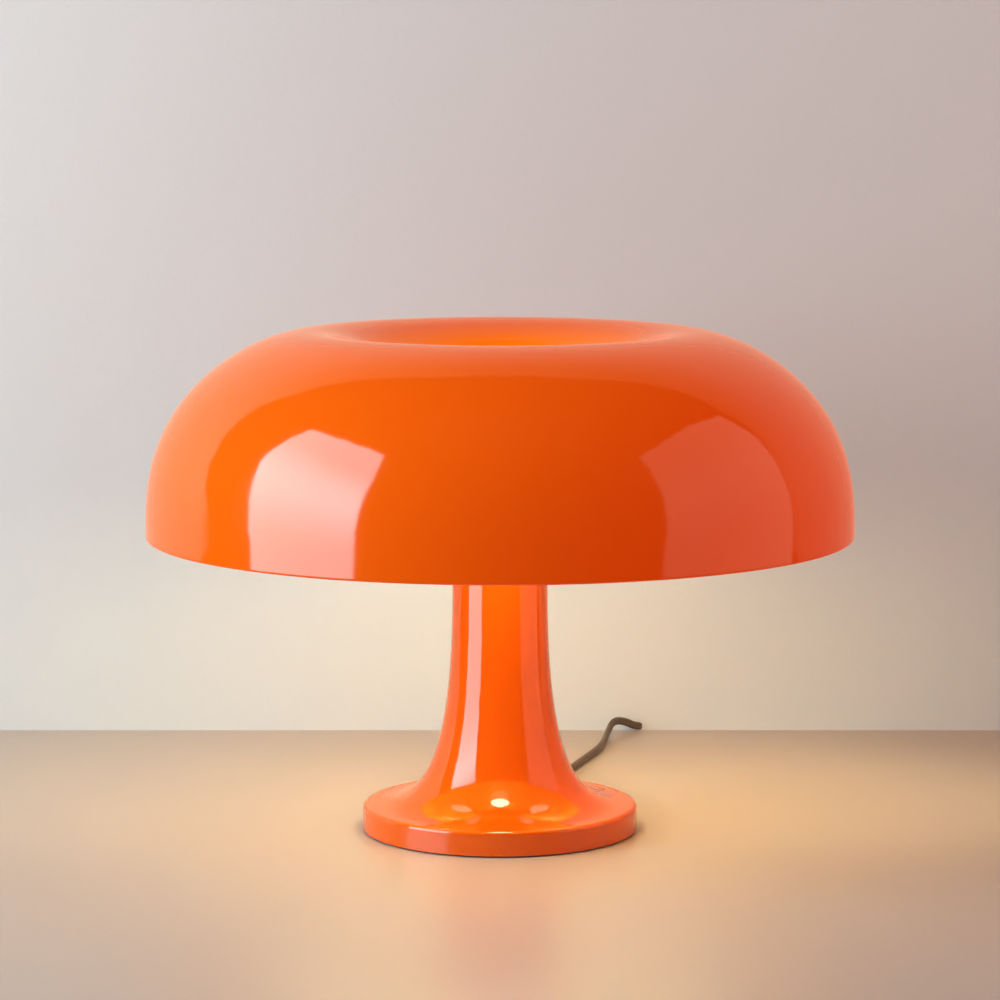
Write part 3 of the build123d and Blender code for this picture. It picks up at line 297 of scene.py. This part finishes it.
shade_abs = gloss_abs("gloss_abs_shade", SHADE_ORANGE, lit_hollow=True)
foot_abs = gloss_abs(
    "gloss_abs_foot", FOOT_ORANGE, skin_depth=FOOT_SKIN_DEPTH, painted_button_gap_shade=True
)
cap_abs = gloss_abs("gloss_abs_cap", SHADE_ORANGE, even_glow=CAP_GLOW)


# Opal blown glass round a lit filament: a warm, nearly even glow.
def opal_glass(name, colour, strength):
    """The glass of a lit bulb."""
    finish, tree = new_finish(name)
    surface(tree, {
        "Base Color": linear("FFF6E8"),
        "Roughness": 0.25,
        "IOR": 1.5,
        "Emission Color": colour,
        "Emission Strength": strength,
    })
    return finish


BULB_LIGHT = linear("FFF4C4")
# The gloss of the foot shows the front bulb, and hardly the ones at the sides.
BULB_LEVELS = {"front": 26.0, "right": 3.0, "back": 32.0, "left": 3.0}


# Plain metals: a rolled, plated or turned surface with fine marks across the light.
MARK_SHADE = 0.8


def plain_metal(name, colour, roughness, mark_size, mark_depth):
    """A bare metal whose marks have a size and a depth in metres."""
    finish, tree = new_finish(name)
    marks = grain(tree, mark_size, 4.0)
    darker = [c * MARK_SHADE for c in colour[:3]] + [1]
    surface(tree, {
        "Base Color": blend_colours(tree, marks, colour, darker),
        "Metallic": 1.0,
        "Roughness": between(tree, marks, roughness * 0.75, roughness * 1.3),
        "Normal": relief(tree, marks, mark_depth),
    })
    return finish


zinc = plain_metal("zinc_plated_steel", linear("C9CACB"), 0.32, 0.0015, 0.000004)
raw_steel = plain_metal("oiled_steel_plate", linear("5A5A5C"), 0.42, 0.004, 0.00001)
aluminium = plain_metal("drawn_aluminium", linear("D8D8D6"), 0.28, 0.0012, 0.000003)
nickel = plain_metal("nickel_plated_brass", linear("D6CFBF"), 0.18, 0.002, 0.000002)


# Moulded and painted surfaces that aren't polished: a fine grain and a soft sheen.
def satin(name, colour, roughness, grain_size, grain_depth, shade=0.85):
    """A finish whose grain has a size and a depth in metres, and a darker tone in its dots."""
    finish, tree = new_finish(name)
    dots = grain(tree, grain_size, 3.0)
    surface(tree, {
        "Base Color": blend_colours(tree, dots, colour, [c * shade for c in colour[:3]] + [1]),
        "Roughness": between(tree, dots, roughness * 0.85, roughness * 1.15),
        "IOR": 1.5,
        "Normal": relief(tree, dots, grain_depth),
    })
    return finish


white_enamel = satin("white_baked_enamel", linear("E9E6DF"), 0.35, 0.0012, 0.000006, 0.97)
black_enamel = satin("black_baked_enamel", linear("242120"), 0.32, 0.0012, 0.000006, 0.9)
white_pbt = satin("white_pbt_moulding", linear("ECE9E1"), 0.45, 0.0008, 0.000006, 0.96)
black_pbt = satin("black_moulded_pbt", linear("1B1A1A"), 0.5, 0.0008, 0.00001)
black_rubber = satin("black_soft_rubber", linear("191717"), 0.7, 0.0012, 0.00003)
pvc = satin("brown_black_pvc_sheath", linear("52443A"), 0.42, 0.003, 0.00001, 0.8)

FINISHES = {
    "shade_plastic": shade_abs,
    "foot_plastic": foot_abs,
    "button_plastic": foot_abs,
    "cap_plastic": cap_abs,
    "cover_steel": white_enamel,
    "carrier_steel": black_enamel,
    "raw_steel": raw_steel,
    "zinc_steel": zinc,
    "felt_rubber": black_rubber,
    "switch_plastic": black_pbt,
    "white_plastic": white_pbt,
    "holder_plastic": black_pbt,
    "bulb_cap_metal": aluminium,
    "cord_plastic": pvc,
    "tie_plastic": black_pbt,
    "plug_plastic": black_pbt,
    "pin_brass": nickel,
}
for part in frame["record"]["subparts"]:
    if part["material_slot"] in FINISHES:
        paint(NODES[part["node"]], FINISHES[part["material_slot"]])
# Each bulb's glass has a level of its own, in the order of the bulbs' numbers.
for number, (side, level) in enumerate(BULB_LEVELS.items(), start=1):
    paint(NODES[f"bulb_glass_{number}"], opal_glass("opal_glass_" + side, BULB_LIGHT, level))

# ---- mains cord: a flat twin lead on its edge, from the strain relief to the plug ----
# Lengths are in mm, but for the cord's whole length, which is in metres.
COIL_CENTRE = Vector((112, 270, 0))
COIL_TURNS = 2.625
COIL_LAYERS = 4
COIL_MEAN_RADIUS = 23
COIL_SWING = 5.90625
COIL_FLOOR = 3.15
COIL_PITCH = 4.5
CORD_WIDTH = 4.0
CORD_LOBE = 1.3
LOBE_SWEEP = 120
LOBE_STEPS = 12
CORD_LEAD = 13
POINTS_A_TURN = 24


def coil_place(turn):
    """The coil's centreline: in and out at a steady rate, up a layer where it reverses."""
    phase = turn / COIL_TURNS
    fold = abs(phase - 2 * round(phase / 2))
    radius = COIL_MEAN_RADIUS + COIL_SWING * (1 - 2 * fold)
    height = COIL_FLOOR
    for layer in range(1, COIL_LAYERS):
        climb = min(max(2 * (turn - layer * COIL_TURNS) + 0.5, 0), 1)
        height += COIL_PITCH * climb * climb * (3 - 2 * climb)
    angle = radians(turn * 360 - 90)
    return COIL_CENTRE + Vector((cos(angle) * radius, sin(angle) * radius, height))


def coil_way(turn):
    """The direction in which the coil's centreline runs."""
    return (coil_place(turn + 0.001) - coil_place(turn - 0.001)).normalized()


COIL_END = COIL_TURNS * COIL_LAYERS
PLUG_AXIS_HEIGHT = 6.8
# Along the tail, the end of its level run, the foot of its drop and its end in the plug.
TAIL_REACHES = (10, 34, 46)
coil_start = coil_place(0) - coil_way(0) * CORD_WIDTH
tail = coil_place(COIL_END)
tail_way = coil_way(COIL_END)
tail_drop = Vector((0, 0, PLUG_AXIS_HEIGHT - tail.z))
cord_route = [
    Vector((23.40, 81.61, 5.8)),
    Vector((26.98, 94.11, 5.8)),
    Vector((32.4, 113.5, 2.2)),
    Vector((40.9, 143.0, 2.2)),
    Vector((50.6, 174.0, 2.2)),
    Vector((54.2, 198.5, 2.3)),
    Vector((56.2, 212.0, 4.0)),
    Vector((59.2, 222.0, 7.4)),
    Vector((65.6, 229.4, 5.6)),
    Vector((71.2, 232.2, 2.2)),
    Vector((78.4, 238.4, 2.1)),
    coil_start - coil_way(0) * CORD_LEAD,
    coil_start,
]
cord_route += [
    coil_place(step / POINTS_A_TURN) for step in range(int(COIL_END * POINTS_A_TURN) + 1)
]
cord_route += [
    tail + tail_way * reach + drop
    for reach, drop in zip(TAIL_REACHES, (Vector((0, 0, 0)), tail_drop, tail_drop))
]

profile = bpy.data.curves.new("cord_profile", "CURVE")
profile.dimensions = "2D"
outline = profile.splines.new("POLY")
lobe_offset = CORD_WIDTH / 2 - CORD_LOBE
section = []
for side in (1, -1):
    for step in range(LOBE_STEPS + 1):
        angle = radians(-LOBE_SWEEP + 2 * LOBE_SWEEP * step / LOBE_STEPS)
        section.append(
            (CORD_LOBE * sin(angle) * side, side * (lobe_offset + CORD_LOBE * cos(angle)))
        )
outline.points.add(len(section) - 1)
for point, (x, y) in zip(outline.points, section):
    point.co = (x * MM, y * MM, 0, 1)
outline.use_cyclic_u = True
profile_object = bpy.data.objects.new("cord_profile", profile)
profile_object.hide_render = True

cord_curve = bpy.data.curves.new("mains_cord", "CURVE")
cord_curve.dimensions = "3D"
line = cord_curve.splines.new("NURBS")
line.points.add(len(cord_route) - 1)
for point, place in zip(line.points, cord_route):
    point.co = (*(place * MM), 1)
line.order_u = 3
line.use_endpoint_u = True
line.resolution_u = 6
cord_curve.twist_mode = "Z_UP"
cord_curve.bevel_mode = "OBJECT"
cord_curve.bevel_object = profile_object
cord_curve.use_fill_caps = True
mains_cord = bpy.data.objects.new("mains_cord", cord_curve)
scene.collection.objects.link(mains_cord)
paint(mains_cord, pvc)
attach(mains_cord, "base")
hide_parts("cord_stretch", "cord_coil")


# ---- small moulded and pressed forms on the CAD's plain bodies, in mm ----
RIB_ROUND = 0.2


def add_rib(ribs, middle, along, outward, size):
    """A rib with rounded edges, from its middle, two of its directions, and its size in mm."""
    across = along.cross(outward)
    turn = Matrix((along, outward, across)).transposed().to_4x4()
    place = Matrix.Translation(middle * MM) @ turn @ Matrix.Diagonal((*(Vector(size) * MM), 1))
    corners = bmesh.ops.create_cube(ribs, size=1, matrix=place)["verts"]
    edges = list({edge for corner in corners for edge in corner.link_edges})
    bmesh.ops.bevel(
        ribs, geom=edges, offset=RIB_ROUND * MM, affect="EDGES", segments=2, profile=0.5,
        material=-1,
    )


# Ribs round the collar of each lampholder.
HOLDERS = 4
HOLDER_HEIGHT = 166.5
COLLAR_MIDDLE = 45.5
COLLAR_RIB_RADIUS = 13.1
COLLAR_RIBS = 20
COLLAR_RIB = (5.0, 1.0, 1.1)
for number in range(HOLDERS):
    axis = FULL_TURN * number / HOLDERS - radians(90)
    away = Vector((cos(axis), sin(axis), 0))
    ribs = bmesh.new()
    for step in range(COLLAR_RIBS):
        angle = FULL_TURN * (step + 0.5) / COLLAR_RIBS
        outward = away.cross(UP) * cos(angle) + UP * sin(angle)
        middle = away * COLLAR_MIDDLE + outward * COLLAR_RIB_RADIUS + UP * HOLDER_HEIGHT
        add_rib(ribs, middle, away, outward, COLLAR_RIB)
    collar_ribs = piece(f"collar_ribs_{number + 1}", ribs, "base")
    paint(collar_ribs, black_pbt)

# Grip ribs on the top of the plug.
PLUG_MIDDLE_Y = 298.9
PLUG_TOP = 13.6
PLUG_RIBS = (34.0, 36.8, 39.6, 42.4)
PLUG_RIB = (1.2, 1.0, 13.0)
ribs = bmesh.new()
for x in PLUG_RIBS:
    add_rib(ribs, Vector((x, PLUG_MIDDLE_Y, PLUG_TOP)), Vector((1, 0, 0)), UP, PLUG_RIB)
plug_ribs = piece("plug_ribs", ribs, "base")
paint(plug_ribs, black_pbt)

# Pressed bead that stiffens the bottom cover, as (radius, height).
COVER_BEAD = [
    (29.6, 1.4), (29.6, 1.0), (30.2, 0.7), (31.0, 0.6), (31.8, 0.7), (32.4, 1.0), (32.4, 1.4),
]
ROUND_STEPS = 96
bead = bmesh.new()
rim = [bead.verts.new((radius * MM, 0, height * MM)) for radius, height in COVER_BEAD]
loop = [bead.edges.new((rim[step - 1], rim[step])) for step in range(len(rim))]
bmesh.ops.spin(
    bead, geom=rim + loop, cent=(0, 0, 0), axis=UP, angle=FULL_TURN, steps=ROUND_STEPS,
    use_merge=True,
)
bmesh.ops.recalc_face_normals(bead, faces=bead.faces)
cover_bead = piece("cover_bead", bead, "base")
paint(cover_bead, white_enamel)


# ---- studio ----
WALL_Y = 0.2335
WALL_ENDS = (-1.4, 1.55)
WALL_FAR_REACH = 4
WALL_FAR_STEP = 0.001
TABLE_RADIUS = 0.35
TABLE_FAR_RADIUS = 5
# Top edge of the wall as the dome's gloss shows it, as (x, z) in mm.
WALL_ARCH = [
    (-1287, 150), (-1120, 240), (-900, 350), (-633, 518), (-522, 618), (-443, 734), (-298, 811),
    (-163, 953), (0, 973), (196, 975), (374, 844), (654, 834), (979, 597), (1468, 310),
]


def stage_mesh(name, corners, finish, **seen_by):
    """A flat piece of the studio, with the kinds of ray that don't meet it."""
    sheet = bmesh.new()
    sheet.faces.new([sheet.verts.new(corner) for corner in corners])
    thing = piece(name, sheet)
    paint(thing, finish)
    for kind, seen in seen_by.items():
        setattr(thing, "visible_" + kind, seen)
    return thing


def object_height(tree):
    """The height of a point on an object, in metres."""
    place = add_node(tree, "TexCoord").outputs["Object"]
    return add_node(tree, "SeparateXYZ", inputs={0: place}).outputs["Z"]


def end_see_through_behind(tree, shader):
    """Ends a material whose back is clear, so that other views see the lamp past it."""
    behind = add_node(tree, "NewGeometry").outputs["Backfacing"]
    clear = add_node(tree, "BsdfTransparent")
    sided = add_node(
        tree, "MixShader", inputs={0: behind, 1: shader.outputs[0], 2: clear.outputs[0]}
    )
    add_node(tree, "OutputMaterial", inputs={"Surface": sided.outputs[0]})


# Pale matt wall paint with a roller's grain. The gloss of the lamp meets a painted reflection
# tone of it, warmer than the paint; painted shade darkens that tone higher up, above the camera's
# view, and it is a little less yellow close to the table.
WALL_COLOUR = linear("B6BDBF")
WALL_IN_GLOSS = [0.50, 0.50, 0.38, 1.0]
WALL_UPPER_SHADE = [0.80, 0.62, 0.42]
WALL_UPPER_HEIGHTS = (0.80, 0.40)
WALL_LOWER_SHADE = [0.96, 0.92, 1.00]
WALL_LOWER_HEIGHTS = (0.05, 0.20)


def wall_finish():
    """The wall's paint, for the camera and for the lamp's gloss."""
    finish, tree = new_finish("pale_wall_paint")
    seen_in_gloss = add_node(tree, "LightPath").outputs["Is Glossy Ray"]
    height = object_height(tree)
    reflected = WALL_IN_GLOSS
    for shade, heights in (
        (WALL_UPPER_SHADE, WALL_UPPER_HEIGHTS), (WALL_LOWER_SHADE, WALL_LOWER_HEIGHTS)
    ):
        shaded = [c * s for c, s in zip(WALL_IN_GLOSS, shade)] + [1]
        reflected = blend_colours(tree, fade(tree, height, *heights), reflected, shaded)
    shader = add_node(tree, "BsdfPrincipled", inputs={
        "Base Color": blend_colours(tree, seen_in_gloss, WALL_COLOUR, reflected),
        "Roughness": 0.9,
        "Specular IOR Level": 0.0,
        "Normal": relief(tree, grain(tree, 0.0022, 3.0), 0.00012),
    })
    end_see_through_behind(tree, shader)
    return finish


# Satin table top. Past the picture it has some light of its own for the camera, so that views
# from other sides look over a pale floor.
TABLE_COLOUR = linear("9B918C")
TABLE_OWN_LIGHT = 0.45
TABLE_LIGHT_RADII = (1.4, 0.45)


def table_finish():
    """The table's top, for the camera and for the lamp's gloss."""
    finish, tree = new_finish("pale_satin_table")
    place = add_node(tree, "TexCoord").outputs["Object"]
    radius = add_node(tree, "VectorMath", {"operation": "LENGTH"}, {0: place})
    outer = fade(tree, radius.outputs["Value"], *TABLE_LIGHT_RADII)
    seen = add_node(tree, "LightPath").outputs["Is Camera Ray"]
    lit = add_node(tree, "Math", {"operation": "MULTIPLY"}, {0: outer, 1: seen})
    shader = add_node(tree, "BsdfPrincipled", inputs={
        "Base Color": TABLE_COLOUR,
        "Roughness": 0.35,
        "Emission Color": linear("D8D2CC"),
        "Emission Strength": between(tree, lit.outputs[0], 0.0, TABLE_OWN_LIGHT),
    })
    end_see_through_behind(tree, shader)
    return finish


wall_paint = wall_finish()
table_paint = table_finish()

# Faces that point to -Y are the wall's front.
near_corners = [(x, WALL_Y, 0) for x in WALL_ENDS]
near_corners += [(x * MM, WALL_Y, z * MM) for x, z in reversed(WALL_ARCH)]
stage_mesh("wall_near", near_corners, wall_paint, shadow=False)
far_corners = [
    (x * WALL_FAR_REACH, WALL_Y + WALL_FAR_STEP, z * WALL_FAR_REACH)
    for x, z in ((-1, 0), (1, 0), (1, 1), (-1, 1))
]
stage_mesh("wall_far", far_corners, wall_paint, glossy=False, shadow=False)

table = bmesh.new()
bmesh.ops.create_circle(table, cap_ends=True, segments=ROUND_STEPS, radius=TABLE_RADIUS)
table_near = piece("table_near", table)
paint(table_near, table_paint)
table_near.visible_shadow = False
far = bmesh.new()
for radius in (TABLE_RADIUS, TABLE_FAR_RADIUS):
    bmesh.ops.create_circle(far, segments=ROUND_STEPS, radius=radius)
bmesh.ops.bridge_loops(far, edges=far.edges[:])
bmesh.ops.recalc_face_normals(far, faces=far.faces)
table_far = piece("table_far", far)
paint(table_far, table_paint)
table_far.visible_glossy = False
table_far.visible_shadow = False


# Heights in metres: where a softbox is brightest, and how far from there it has dimmed.
CARD_MIDDLE = 0.55
CARD_REACH = 0.55
CARD_X = 1


def card_finish(name, colour, strength, end_strength):
    """A softbox as the gloss of the lamp sees it, brighter in its middle."""
    finish, tree = new_finish(name)
    height = object_height(tree)
    off = add_node(tree, "Math", {"operation": "SUBTRACT"}, {0: height, 1: CARD_MIDDLE})
    far = add_node(tree, "Math", {"operation": "ABSOLUTE"}, {0: off.outputs[0]})
    middle = fade(tree, far.outputs[0], 0.0, CARD_REACH)
    level = between(tree, middle, end_strength, strength)
    glow = add_node(tree, "Emission", inputs={"Color": colour, "Strength": level})
    add_node(tree, "OutputMaterial", inputs={"Surface": glow.outputs[0]})
    return finish


HIDDEN = {"camera": False, "diffuse": False, "shadow": False, "transmission": False}
left_card = card_finish("left_softbox", linear("FFF6FF"), 10.5, 6.5)
right_card = card_finish("right_softbox", linear("FFE6C8"), 1.1, 0.9)
# Outlines of the softboxes, as (y, z) in metres: their edges bend the way the dome shows them.
LEFT_OUTLINE = [
    (-1.03, -0.10), (-0.19, -0.10), (-0.19, 0.10), (-0.14, 0.33), (-0.053, 0.66), (-0.045, 1.22),
    (-0.386, 1.368), (-0.93, 1.54), (-1.04, 1.0),
]
RIGHT_OUTLINE = [
    (-0.87, -0.10), (0.16, -0.10), (0.155, 0.06), (0.185, 0.457), (0.264, 0.737), (0.328, 1.148),
    (0.03, 1.273), (-0.724, 1.263), (-0.80, 0.556),
]
stage_mesh("card_left", [(-CARD_X, y, z) for y, z in LEFT_OUTLINE], left_card, **HIDDEN)
stage_mesh("card_right", [(CARD_X, y, z) for y, z in RIGHT_OUTLINE], right_card, **HIDDEN)


def aim_lamp(data, place, target):
    """Hangs a lamp at a place, turned to a target; the gloss of the object doesn't show it."""
    lamp = bpy.data.objects.new(data.name, data)
    lamp.location = place
    lamp.rotation_euler = (Vector(target) - Vector(place)).to_track_quat("-Z", "Y").to_euler()
    lamp.visible_glossy = False
    scene.collection.objects.link(lamp)


POOL_LAMP_RADIUS = 0.05


def pool_lamp(name, place, target, cone, energy, colour):
    """A lamp with a soft round beam, for a pool of warm light on the table."""
    data = bpy.data.lights.new(name, "SPOT")
    data.spot_size = radians(cone)
    data.spot_blend = 1.0
    data.shadow_soft_size = POOL_LAMP_RADIUS
    data.energy = energy
    data.color = colour[:3]
    aim_lamp(data, place, target)


def soft_lamp(name, place, target, width, height, energy, colour):
    """A soft studio lamp that the gloss doesn't show, because a card stands for it there."""
    data = bpy.data.lights.new(name, "AREA")
    data.shape = "RECTANGLE"
    data.size = width
    data.size_y = height
    data.energy = energy
    data.color = colour[:3]
    aim_lamp(data, place, target)


soft_lamp("key", (-1.05, -0.44, 0.65), (0, -0.2, 0.45), 0.9, 1.2, 26.5, linear("FFFFFF"))
soft_lamp("fill", (1.05, -0.40, 0.6), (0, -0.2, 0.4), 1.0, 1.2, 8.9, linear("FFA584"))
pool_lamp("pool_right", (0.55, -0.05, 0.75), (0.16, 0.07, 0), 22, 24, linear("FFEAB4"))
pool_lamp("pool_left", (-0.55, -0.05, 0.75), (-0.20, 0.09, 0), 26, 10, linear("FFEAB4"))
soft_lamp("below", (0, 0, -0.9), (0, 0.05, 0), 1.0, 1.0, 3, linear("FFFFFF"))
soft_lamp("top", (0, -0.6, 1.7), (0, 0, 0.12), 1.2, 0.8, 3, linear("FFFFFF"))

world = bpy.data.worlds.new("studio")
scene.world = world
world.use_nodes = True
sky = world.node_tree
sky.nodes.clear()
path = add_node(sky, "LightPath")
diffuse_sky = add_node(sky, "Background", inputs={"Color": linear("F2F0EE"), "Strength": 0.30})
camera_sky = add_node(sky, "Background", inputs={"Color": linear("DDD6D2"), "Strength": 1.0})
gloss_sky = add_node(sky, "Background", inputs={"Color": linear("3A302C"), "Strength": 1.0})
with_gloss = add_node(sky, "MixShader", inputs={
    0: path.outputs["Is Glossy Ray"], 1: diffuse_sky.outputs[0], 2: gloss_sky.outputs[0]})
whole_sky = add_node(sky, "MixShader", inputs={
    0: path.outputs["Is Camera Ray"], 1: with_gloss.outputs[0], 2: camera_sky.outputs[0]})
add_node(sky, "OutputWorld", inputs={"Surface": whole_sky.outputs[0]})
